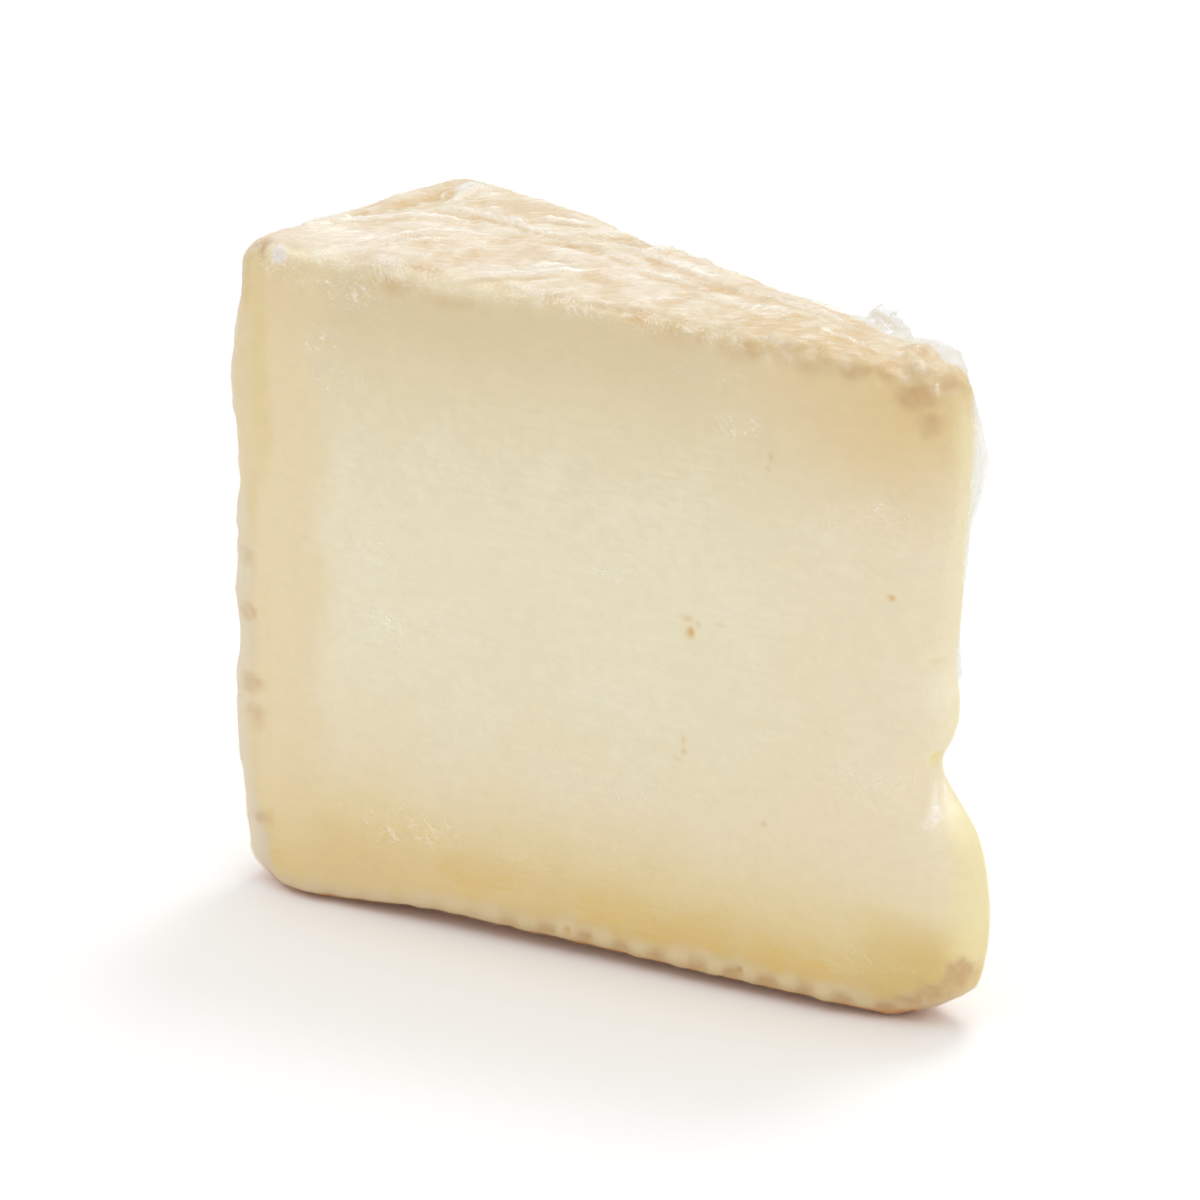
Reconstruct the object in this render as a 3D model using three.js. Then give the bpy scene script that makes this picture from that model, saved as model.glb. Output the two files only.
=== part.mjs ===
// A wedge of soft-ripened cheese, cut from a thick wheel and wrapped tight in clear film.
// It stands on its base rind. The solid reaches out to the film, which clings to the cheese.
//
// Millimetres, +Z up. X runs from the curved back rind to the tip, and Y across the wedge.
// The origin is on the base, under the middle of the wedge's box.

import * as THREE from "three";
import { mergeVertices } from "three/addons/utils/BufferGeometryUtils.js";

// The wheel, and the two cuts that meet on its axis.
const WHEEL_RADIUS = 100;
const WHEEL_HEIGHT = 72;
const WEDGE_ANGLE = THREE.MathUtils.degToRad(20.6);
const TIP_LOST = 17.5; // the sharp end of the sector, pressed back to a blunt nose

// How far the edges are rounded along the wedge, across it and up. The wheel's shoulders
// and the ends of the nose are rounder than the edges left by the knife, and paste that
// stands on its base rolls under further than it does at the top.
const SHOULDER = { length: 4.6, height: 4.2 };
const CUT_EDGE = { length: 4.2, width: 2.4, top: 2, foot: 5 };

// Soft paste settles: the top sinks towards the tip, and the cut faces and the back swell.
const TIP_SINK = 2.5;
const FACE_SWELL = 0.7;
const BACK_SWELL = 1.3;
const SWELL_HEIGHT = 26; // where they swell most
const SWELL_SPREAD = 34;

// The nose from the base up: how far it stands out (or in) at a height, over what height,
// and how far back along the wedge that is felt. The paste is pressed out at the foot and
// the brow, and split back along the cut faces at the notch and the nick.
const NOSE_FORMS = [
  { name: "foot", height: 12, out: 4.4, spread: 13.5, reach: 24 },
  { name: "notch", height: 27.3, out: -4.2, spread: 4, reach: 11 },
  { name: "nick", height: 39.5, out: -0.9, spread: 2.4, reach: 6 },
  { name: "brow", height: 64, out: 1.1, spread: 11, reach: 22 },
];

// The top and the back are a little uneven, as a rind that has dried on a rack.
const TOP_WAVE = 0.42;
const BACK_WAVE = 0.5;
const WAVE_LENGTH = 23;
const WAVE_START = { x: 42, y: 6 };

// Divisions of the block along, across and up, and the share of them in its flat middle.
const DIVISIONS = { x: 40, y: 14, z: 34 };
const FLAT_SHARE = { x: 0.8, y: 0.5, z: 0.77 };

const HALF_ANGLE = WEDGE_ANGLE / 2;
const HALF_LENGTH = (WHEEL_RADIUS - TIP_LOST) / 2;
const HALF_HEIGHT = WHEEL_HEIGHT / 2;

// The wheel's axis is at X = 0 until the wedge is centred. The shown cut face is on -Y.
const NOSE_X = -TIP_LOST;

const hill = (distance, spread) => Math.exp(-((distance / spread) ** 2));

const { clamp, lerp: mix, smoothstep: smooth } = THREE.MathUtils;

// A block coordinate from -1 to 1, split into its share of the flat middle and its share
// of the rounded zone beyond.
function zones(g, flatShare) {
  const size = Math.abs(g);
  return {
    side: Math.sign(g),
    flat: Math.min(size / flatShare, 1),
    edge: Math.max(0, (size - flatShare) / (1 - flatShare)),
  };
}

// One coordinate of the cube-to-sphere map, for an edge share and the two beside it.
function roundOff(own, a, b) {
  return own * Math.sqrt(1 - (a * a + b * b) / 2 + (a * a * b * b) / 3);
}

// A point of the block, from -1 to 1 each way, as a point of the rounded wedge.
function wedgePoint(block) {
  const x = zones(block.x, FLAT_SHARE.x);
  const y = zones(block.y, FLAT_SHARE.y);
  const z = zones(block.z, FLAT_SHARE.z);

  const reach = (axis, part, roundness) =>
    axis.side * ((1 - part) * axis.flat + part * roundness);

  const roundLength = mix(CUT_EDGE.length, SHOULDER.length, z.edge) / HALF_LENGTH;
  const length = reach(x, roundLength, roundOff(x.edge, y.edge, z.edge));
  const radius = WHEEL_RADIUS - (1 + length) * HALF_LENGTH;

  const roundWidth = CUT_EDGE.width / (radius * HALF_ANGLE);
  const across = reach(y, roundWidth, roundOff(y.edge, z.edge, x.edge));
  const turn = across * HALF_ANGLE;

  const cutHeight = z.side > 0 ? CUT_EDGE.top : CUT_EDGE.foot;
  const roundHeight = mix(cutHeight, SHOULDER.height, x.edge) / HALF_HEIGHT;
  const up = reach(z, roundHeight, roundOff(z.edge, x.edge, y.edge));
  return new THREE.Vector3(
    -radius * Math.cos(turn),
    radius * Math.sin(turn),
    (1 + up) * HALF_HEIGHT,
  );
}

// The slow waves of the rind, between -1 and 1.
function wave(a, b) {
  const turns = (2 * Math.PI) / WAVE_LENGTH;
  return (
    0.6 * Math.sin(a * turns + 0.9 * Math.sin(b * turns * 0.7)) +
    0.4 * Math.sin(b * turns * 1.3 + 1.7 * Math.cos(a * turns * 0.6))
  );
}

// Sinks, swells and dents the wedge as soft paste does. The base stays flat.
function settle(point) {
  const { x, y, z } = point;
  const along = (x + WHEEL_RADIUS) / (WHEEL_RADIUS - TIP_LOST); // 0 at the back, 1 at the tip
  const height = z / WHEEL_HEIGHT;
  const side = y / (Math.hypot(x, y) * HALF_ANGLE); // -1 and 1 on the cut faces

  const back = smooth(-along, -0.15, 0);
  const swell = hill(z - SWELL_HEIGHT, SWELL_SPREAD);
  point.y += side * FACE_SWELL * swell * Math.sin(Math.PI * clamp(along, 0, 1));
  point.x += (BACK_WAVE * wave(y * 1.4, z) - BACK_SWELL * swell) * back;

  for (const form of NOSE_FORMS) {
    const felt = smooth(x, NOSE_X - form.reach, NOSE_X);
    const out = form.out * hill(z - form.height, form.spread) * felt;
    point.x += out;
    if (out < 0) point.y *= (x + out) / x;
  }

  const topWave = TOP_WAVE * wave(x + WAVE_START.x, y + WAVE_START.y) * smooth(height, 0.75, 1);
  point.z = z * (1 - (TIP_SINK / WHEEL_HEIGHT) * along * along) + topWave;
}

// A block of unit faces, bent into the wedge and centred on its base.
function cheeseWedge() {
  const block = new THREE.BoxGeometry(2, 2, 2, DIVISIONS.x, DIVISIONS.y, DIVISIONS.z);
  block.deleteAttribute("normal");
  block.deleteAttribute("uv");
  const geometry = mergeVertices(block);
  const vertices = geometry.attributes.position;
  const corner = new THREE.Vector3();
  for (let i = 0; i < vertices.count; i++) {
    const point = wedgePoint(corner.fromBufferAttribute(vertices, i));
    settle(point);
    vertices.setXYZ(i, point.x, point.y, point.z);
  }
  geometry.computeBoundingBox();
  const middle = geometry.boundingBox.getCenter(new THREE.Vector3());
  geometry.translate(-middle.x, -middle.y, -geometry.boundingBox.min.z);
  geometry.computeVertexNormals();
  return geometry;
}

const wrappedCheese = new THREE.MeshStandardMaterial({
  color: 0xe4dabb,
  roughness: 0.4,
  metalness: 0,
});

const wedge = new THREE.Mesh(cheeseWedge(), wrappedCheese);
wedge.name = "cheese_wedge";

const part = new THREE.Group();
part.add(wedge);

export default part;
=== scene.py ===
# A wedge of soft-ripened cheese, wrapped tight in clear film.
#
# The CAD solid reaches out to the film. Two pieces replace it: the cheese, with its paste,
# its rind and the dents in both, and the film over it, with its creases. Two gathered fins
# of loose film stand along the far edge of the tip.
#
# Lengths in the work on the skin are in millimetres, in the part's own frame: X from the
# curved back to the tip, Y across, Z up, with the shown cut face towards -Y.

import math
import random

import bpy
import numpy as np
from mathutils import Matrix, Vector, noise


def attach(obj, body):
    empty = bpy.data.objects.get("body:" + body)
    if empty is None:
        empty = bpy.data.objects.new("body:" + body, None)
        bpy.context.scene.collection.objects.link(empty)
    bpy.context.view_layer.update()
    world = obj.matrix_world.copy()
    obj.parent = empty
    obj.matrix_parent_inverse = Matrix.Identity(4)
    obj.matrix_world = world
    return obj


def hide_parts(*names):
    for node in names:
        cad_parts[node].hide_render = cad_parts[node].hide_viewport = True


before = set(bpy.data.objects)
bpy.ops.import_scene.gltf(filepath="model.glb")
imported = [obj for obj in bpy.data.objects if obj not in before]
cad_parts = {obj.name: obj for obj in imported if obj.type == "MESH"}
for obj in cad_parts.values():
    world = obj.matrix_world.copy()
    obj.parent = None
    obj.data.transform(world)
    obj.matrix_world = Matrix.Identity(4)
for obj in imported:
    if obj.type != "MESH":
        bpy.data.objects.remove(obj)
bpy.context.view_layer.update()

# The crimp of loose film is a noise vector, which follows the noise module's seed.
CRIMP_SEED = 5
noise.seed_set(CRIMP_SEED)

MM = 0.001

# The wheel the wedge was cut from: its axis and its radius, half the angle between the
# cuts, the top's height at the back and how far it sinks to the tip, and the wedge's
# start and length along X.
AXIS_X = 57.0
BACK_RADIUS = 101.2
HALF_ANGLE = math.radians(10.3)
TOP_AT_BACK = 72.0
TOP_SINK = 2.5
BACK_X = -44.3
WEDGE_LENGTH = 82.5

# How finely the skin is divided.
VOXEL = 0.56

# The direction, in X and Y, of the corner between the shown cut face and the nose.
CORNER_X, CORNER_Y = 0.764, 0.645


# --- Small tools ---


def ramp(value, start, end):
    """From 0 at start to 1 at end, with soft ends."""
    share = np.clip((value - start) / (end - start), 0, 1)
    return share * share * (3 - 2 * share)


def hill(distance, spread):
    """1 where the distance is 0, falling away over the spread."""
    return np.exp(-((distance / spread) ** 2))


def select_only(piece):
    bpy.ops.object.select_all(action="DESELECT")
    piece.select_set(True)
    bpy.context.view_layer.objects.active = piece


def apply_modifier(piece, kind, **settings):
    select_only(piece)
    modifier = piece.modifiers.new(kind.lower(), kind)
    for name, value in settings.items():
        setattr(modifier, name, value)
    bpy.ops.object.modifier_apply(modifier=modifier.name)


def shade_smooth(piece):
    select_only(piece)
    bpy.ops.object.shade_smooth()


def copy_of(source, name):
    piece = bpy.data.objects.new(name, source.data.copy())
    piece.data.name = name
    bpy.context.scene.collection.objects.link(piece)
    return piece


def merged_copy(node, name):
    """A copy of a CAD node, with its loose triangles merged into one skin."""
    piece = copy_of(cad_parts[node], name)
    select_only(piece)
    bpy.ops.object.mode_set(mode="EDIT")
    bpy.ops.mesh.select_all(action="SELECT")
    bpy.ops.mesh.remove_doubles(threshold=0.01 * MM)
    bpy.ops.object.mode_set(mode="OBJECT")
    return piece


# --- Where a point of the skin lies ---


class Skin:
    """The points of a piece's skin, and where on the wedge each of them lies."""

    def __init__(self, piece):
        self.mesh = piece.data
        count = len(self.mesh.vertices)
        flat = np.empty(count * 3, np.float32)
        self.mesh.vertices.foreach_get("co", flat)
        self.place = flat.reshape(-1, 3).astype(float) / MM
        self.mesh.vertex_normals.foreach_get("vector", flat)
        self.normal = flat.reshape(-1, 3).astype(float)
        self.x, self.y, self.z = self.place.T
        out_x, out_y, self.up = self.normal.T
        self.radius = np.hypot(AXIS_X - self.x, self.y)
        self.turn = np.arctan2(self.y, AXIS_X - self.x)
        self.arc = self.turn * BACK_RADIUS
        along = (self.x - BACK_X) / WEDGE_LENGTH
        self.below_top = TOP_AT_BACK - TOP_SINK * along**2 - self.z
        self.inside_back = BACK_RADIUS - self.radius
        self.to_corner = CORNER_X * self.x + CORNER_Y * self.y
        self.inside_cut = self.radius * np.sin(HALF_ANGLE - np.abs(self.turn))
        to_back = (out_x * (self.x - AXIS_X) + out_y * self.y) / self.radius
        self.on_top = ramp(self.up, 0.5, 0.8) * (self.z > 60)
        self.on_base = ramp(-self.up, 0.5, 0.8) * (self.z < 8)
        self.on_back = ramp(to_back, 0.5, 0.8) * (self.radius > 80)
        self.on_nose = ramp(out_x, 0.5, 0.85) * (self.radius < 25)
        others = self.on_top + self.on_base + self.on_back + self.on_nose
        self.on_cut = np.clip(1 - others, 0, 1)
        self.on_shown = self.on_cut * (self.y < 0)
        self.on_hidden = self.on_cut * (self.y >= 0)

    def noise(self, size, start, stretch=(1, 1, 1)):
        """Soft bumps of a size, between about -1 and 1."""
        scale = 1 / (size * np.array(stretch, float))
        shift = np.array((start * 7.3, start * 3.1, start * 5.7))
        return np.array([noise.noise(Vector(p)) for p in self.place * scale + shift]) * 1.6

    def face(self, name):
        """Two flat coordinates on a face of the wedge, and how much of a point is on it."""
        return {
            "top": (self.x, self.y, self.on_top),
            "base": (self.x, self.y, self.on_base),
            "shown": (self.radius, self.z, self.on_shown),
            "hidden": (self.radius, self.z, self.on_hidden),
            "back": (self.arc, self.z, self.on_back),
            "nose": (self.y, self.z, self.on_nose),
        }[name]

    def lines(self, lines):
        """The height of raised lines, each tapering to nothing at both of its ends."""
        height = np.zeros(len(self.x))
        for face, start, end, bow, width, rise in lines:
            u, v, share = self.face(face)
            on = np.flatnonzero(share > 0.02)
            line = line_height(u[on], v[on], start, end, bow, width)
            height[on] = np.maximum(height[on], line * rise * share[on])
        return height

    def move(self, out):
        """Moves each point out along its normal."""
        self.place = self.place + self.normal * out[:, None]

    def write(self):
        flat = (self.place * MM).astype(np.float32).ravel()
        self.mesh.vertices.foreach_set("co", flat)
        self.mesh.update()

    def paint(self, name, amount):
        """Keeps an amount from 0 to 1 on the mesh, for its finish to read."""
        layer = self.mesh.attributes.new(name, "FLOAT", "POINT")
        layer.data.foreach_set("value", np.clip(amount, 0, 1).astype(np.float32))


LINE_STEPS = 8


def line_height(u, v, start, end, bow, width):
    """1 along a line between two points that bows to its left, and 0 away from it."""
    start, end = np.array(start, float), np.array(end, float)
    side = np.array((start[1] - end[1], end[0] - start[0]))
    steps = np.linspace(0, 1, LINE_STEPS + 1)[:, None]
    points = start + (end - start) * steps + side * bow * 4 * steps * (1 - steps)
    best = np.zeros(len(u))
    for i in range(LINE_STEPS):
        a, span = points[i], points[i + 1] - points[i]
        t = np.clip(((u - a[0]) * span[0] + (v - a[1]) * span[1]) / (span @ span), 0, 1)
        distance = np.hypot(u - a[0] - t * span[0], v - a[1] - t * span[1])
        taper = np.sin(math.pi * (i + t) / LINE_STEPS) ** 0.7
        best = np.maximum(best, hill(distance, width) * taper)
    return best


# --- The cheese ---

# Where the back's shown edge stands out: at what height, how far, and over what height.
BACK_EDGE_SWELLS = [(57.5, 1.05, 6.5), (47.0, 0.35, 6.0), (40.5, 0.60, 4.0), (33.0, 0.70, 4.0),
                    (25.0, 0.25, 4.0), (16.5, 0.75, 8.0), (8.5, 0.35, 4.5)]

# Small holes and scratches in the paste: the face, its place there, how wide and how tall,
# how deep, and how brown.
HOLES = [
    ("shown", 44.8, 38.2, 0.42, 0.55, 0.4, 0.9),
    ("shown", 45.2, 39.6, 0.7, 0.35, 0.25, 0.35),
    ("shown", 44.0, 39.3, 0.35, 0.3, 0.2, 0.3),
    ("shown", 41.4, 39.6, 0.6, 0.2, 0.12, 0.25),
    ("shown", 22.2, 45.7, 0.45, 0.32, 0.25, 0.7),
    ("shown", 45.6, 26.4, 0.25, 0.5, 0.2, 0.35),
    ("shown", 45.5, 25.2, 0.3, 0.35, 0.2, 0.45),
    ("shown", 46.2, 24.2, 0.5, 0.25, 0.12, 0.2),
    ("shown", 36.2, 19.0, 0.35, 0.3, 0.2, 0.35),
    ("shown", 35.9, 58.3, 0.3, 0.6, 0.25, 0.25),
    ("shown", 36.2, 57.0, 0.25, 0.45, 0.2, 0.2),
    ("shown", 59.0, 2.8, 0.35, 0.6, 0.4, 0.5),
    ("shown", 38.5, 2.6, 0.4, 0.5, 0.5, 0.5),
    ("hidden", 63.0, 33.5, 0.5, 0.5, 0.6, 0.7),
    ("hidden", 61.6, 34.9, 0.7, 0.3, 0.3, 0.4),
    ("hidden", 38.0, 50.5, 0.4, 0.5, 0.4, 0.5),
    ("hidden", 71.5, 21.0, 0.35, 0.35, 0.3, 0.5),
    ("hidden", 30.0, 24.0, 0.45, 0.3, 0.3, 0.5),
]

# Shallow grooves that the film has pressed into the paste: from where to where on a face,
# how far it bows as a share of its length, its width and its depth.
GROOVES = [
    ("shown", (92.8, 58.0), (90.0, 50.5), -0.14, 0.50, 0.30),
    ("shown", (92.0, 55.0), (91.4, 47.0), 0.10, 0.55, 0.16),
    ("shown", (90.2, 50.0), (91.8, 35.0), 0.08, 0.60, 0.20),
    ("shown", (91.6, 36.0), (88.4, 22.0), 0.05, 0.60, 0.22),
    ("shown", (97.4, 48.0), (95.6, 38.0), 0.10, 0.70, 0.35),
    ("shown", (96.6, 40.0), (96.2, 20.0), -0.03, 0.60, 0.25),
    ("shown", (54.2, 32.6), (51.6, 29.0), 0.03, 0.35, 0.12),
    ("hidden", (90.0, 60.0), (86.0, 30.0), 0.06, 0.80, 0.30),
    ("hidden", (60.0, 20.0), (48.0, 16.0), 0.08, 0.50, 0.20),
]

# Stains in the rind, and where it shows at the edges of the cut faces, with painted shadow
# under the lip: the face, its place, how wide and how tall, and how brown.
STAINS_AND_SHADE = [
    ("top", -40.5, 9.0, 1.6, 6.0, 0.8),
    ("top", -38.2, -1.7, 1.6, 1.6, 0.6),
    ("top", -37.6, -2.2, 1.8, 1.7, 1.0),
    ("top", -36.0, 5.5, 1.9, 9.5, 1.0),
    ("top", -30.0, 7.8, 2.8, 1.7, 0.75),
    ("top", -29.5, 3.0, 2.6, 1.3, 0.75),
    ("top", -26.5, 10.0, 5.5, 3.2, 0.55),
    ("top", -14.0, -2.5, 2.6, 3.8, 0.45),
    ("top", -13.2, 7.2, 1.9, 1.1, 0.9),
    ("top", -12.0, 6.3, 2.6, 2.2, 0.45),
    ("top", -11.6, 3.0, 3.8, 1.5, 0.95),
    ("top", -10.5, 2.4, 2.2, 1.2, 0.45),
    ("top", -10.0, 8.6, 2.6, 1.9, 0.8),
    ("top", -6.5, 7.2, 1.8, 2.4, 0.55),
    ("top", -5.0, -9.6, 3.2, 1.4, 0.45),
    ("top", -2.0, -4.5, 3.2, 2.4, 0.4),
    ("top", -0.8, 7.8, 2.8, 1.2, 0.6),
    ("top", 0.5, -6.8, 3.6, 1.4, 0.4),
    ("top", 8.6, 2.6, 4.0, 1.7, 0.85),
    ("top", 10.0, 1.7, 1.4, 1.2, 0.35),
    ("top", 13.5, -3.6, 2.4, 1.9, 0.6),
    ("top", 14.0, -5.1, 2.0, 1.2, 0.3),
    ("top", 18.5, 0.6, 2.2, 2.6, 0.5),
    ("top", 22.0, -1.5, 1.8, 2.0, 0.35),
    ("top", 22.0, -2.4, 3.2, 1.9, 0.6),
    ("top", 26.5, 1.4, 2.6, 3.0, 0.5),
    ("top", 34.0, 0.6, 3.0, 3.0, 0.5),
    ("shown", 13.6, 6.6, 1.7, 1.9, 0.95),
    ("shown", 14.9, 7.6, 0.8, 0.7, 0.8),
    ("shown", 15.4, 5.4, 0.9, 1.2, 0.7),
    ("shown", 16.4, 4.2, 2.3, 1.6, 0.95),
    ("shown", 17.9, 3.8, 0.8, 1.0, 0.6),
    ("shown", 18.4, 64.4, 1.4, 1.3, 0.7),
    ("shown", 19.6, 2.7, 1.9, 1.0, 0.85),
    ("shown", 20.2, 66.9, 2.5, 1.3, 0.9),
    ("shown", 26.6, 68.5, 1.2, 0.8, 0.6),
    ("shown", 31.0, 69.6, 1.2, 0.6, 0.4),
    ("shown", 51.4, 70.6, 1.3, 0.9, 0.9),
    ("shown", 73.0, 68.8, 3.0, 0.8, 0.25),
    # Painted shadow: tan under the lip of the rind, where it drops.
    ("shown", 79.0, 69.6, 3.6, 1.0, 0.5),
    ("shown", 96.4, 70.9, 1.1, 0.9, 0.7),
    ("shown", 97.3, 7.8, 1.8, 1.0, 0.5),
    ("shown", 97.6, 19.4, 1.6, 1.5, 0.5),
    ("shown", 98.4, 67.5, 1.0, 3.0, 0.2),
    ("shown", 98.4, 22.8, 1.7, 1.3, 0.6),
    ("shown", 98.8, 30.8, 1.2, 0.9, 0.6),
    ("shown", 98.9, 36.8, 1.1, 1.2, 0.5),
    ("hidden", 16.5, 7.6, 2.8, 2.2, 0.6),
    ("hidden", 18.5, 65.5, 2.2, 2.4, 0.8),
    ("hidden", 98.0, 18.0, 1.4, 1.8, 0.6),
    ("hidden", 98.2, 47.0, 1.2, 1.3, 0.6),
]

# White spots of mould on the rind: the face, its place, how wide and how tall.
MOULD = [
    ("top", -35.4, 13.0, 1.3, 1.8),
    ("shown", 93.9, 70.8, 1.0, 0.75),
    ("back", -6.0, 58.0, 3.0, 2.0),
    ("back", 12.0, 30.0, 2.0, 3.0),
]

# The edge of the base: the pitch of the rack's marks, how far the edge and the tip stand
# off the table, how far the cut faces come down past their rounding, and how far they flare.
SCALLOP_PITCH = 4.4
EDGE_LIFT = 1.15
TIP_LIFT = 1.4
FOOT_SQUARE = 1.3
FOOT_FLARE = 1.0

# Where the skin is divided finely round the notch and the nick: the face, the place there,
# and how wide and how tall.
NOTCH_SPOTS = [("shown", 19, 26, 2.5, 5), ("nose", -0.5, 26, 3, 5),
               ("shown", 19, 37.5, 2.6, 3), ("nose", -1, 37.5, 2.2, 3)]

# How far the notch hangs, and how much less deep it is than in the solid.
NOTCH_HANG = 0.5
NOTCH_FILL = 0.45

# How far in the cheese lies, so that the film over it stays in place, and the height over
# which relief fades out at the base, so that the wedge stands flat.
ROOM_FOR_FILM = 0.12
BASE_ZONE = (0.05, 0.6)


def blots(skin, spots):
    """Uneven round spots on the skin, which run on over its edges, from 0 to 1."""
    ragged = 0.3 * skin.noise(2.4, 21) + 0.25 * skin.noise(1.1, 22)
    near = {
        "top": ramp(skin.below_top, 3.5, 1.0),
        "shown": ramp(skin.inside_cut, 3.5, 1.5) * ramp(skin.y, 2, -1),
        "hidden": ramp(skin.inside_cut, 3.5, 1.5) * (skin.y > 0),
        "back": ramp(skin.inside_back, 3.5, 1.5),
    }
    total = np.zeros(len(skin.x))
    for face, u0, v0, wide, tall, *strength in spots:
        u, v, _ = skin.face(face)
        spread = np.hypot((u - u0) / wide, (v - v0) / tall) + ragged
        spot = ramp(spread, 1.35, 0.35) * near[face]
        total = np.maximum(total, spot * (strength[0] if strength else 1))
    return total


def split_finely(piece, near, cuts):
    """Splits the faces between the marked points."""
    select_only(piece)
    bpy.ops.object.mode_set(mode="EDIT")
    bpy.ops.mesh.select_mode(type="VERT")
    bpy.ops.mesh.select_all(action="DESELECT")
    bpy.ops.object.mode_set(mode="OBJECT")
    piece.data.vertices.foreach_set("select", near)
    bpy.ops.object.mode_set(mode="EDIT")
    bpy.ops.mesh.select_mode(type="VERT")
    bpy.ops.mesh.subdivide(number_cuts=cuts)
    bpy.ops.object.mode_set(mode="OBJECT")


def refine(piece, spots):
    """Splits the skin finely over the top, where the film is creased, and at small forms."""
    skin = Skin(piece)
    lip = (skin.below_top < 2.6) & (skin.y < 0) & (skin.radius < 97)
    split_finely(piece, (skin.on_top > 0.2) | lip, 1)
    skin = Skin(piece)
    near = np.zeros(len(skin.x), bool)
    for face, u0, v0, wide, tall, *_ in spots:
        u, v, share = skin.face(face)
        reach = np.hypot((u - u0) / (wide + 0.7), (v - v0) / (tall + 0.7))
        near |= (reach < 1) & (share > 0.3)
    split_finely(piece, near, 2)


def edge_lift(radius):
    """How far the edge of the base stands off the table."""
    along = ramp(radius, 20, 33) * (0.75 + 0.25 * ramp(radius, 42, 60))
    return EDGE_LIFT * along * (0.15 + 0.85 * ramp(radius, 92, 74))


def settle(piece):
    """Lifts the edge of the base, hangs the notch and swells the shown edge of the back."""
    skin = Skin(piece)
    from_edge = np.minimum(skin.inside_cut, skin.inside_back)
    lift = edge_lift(skin.radius) * (1 + 0.12 * skin.noise(15, 31)) * ramp(from_edge, 9.0, 4.5)
    lift += TIP_LIFT * ramp(skin.radius, 23, 18)
    skin.place[:, 2] += lift * ramp(skin.z, 7, 0)

    near_nose = ramp(skin.radius, 27, 20)
    skin.place[:, 2] -= NOTCH_HANG * hill(skin.z - 26.5, 7) * near_nose
    skin.place[:, 0] += NOTCH_FILL * hill(skin.z - 23.5, 6) * near_nose

    # The cut faces come down almost square and flare a little, pressed out over the rind.
    foot = FOOT_SQUARE * ramp(skin.z, 4.2, 0) * ramp(skin.inside_cut, 9, 3)
    foot += FOOT_FLARE * hill(skin.z - 2.5, 3.5) * ramp(skin.inside_cut, 6, 1)
    foot *= ramp(skin.radius, 20, 30) * ramp(skin.radius, 99, 91)
    skin.place[:, 1] += foot * np.clip(skin.y / 4, -1, 1)

    edge = ramp(skin.inside_back, 9, 1) * ramp(skin.y, -9, -14)
    out = sum(rise * hill(skin.z - z, spread) for z, rise, spread in BACK_EDGE_SWELLS)
    skin.place[:, 0] -= 0.8 * out * edge
    skin.place[:, 1] -= 0.45 * out * edge
    skin.write()


def edge_waves(skin):
    """The scallops that a rack's wires left along the edge of the base: 1 in a hollow."""
    wander = 0.8 * skin.noise(13, 4)
    run = np.where(skin.on_back > 0.5, skin.arc, skin.radius)
    return 0.5 + 0.5 * np.cos(2 * math.pi * run / SCALLOP_PITCH + wander)


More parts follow.
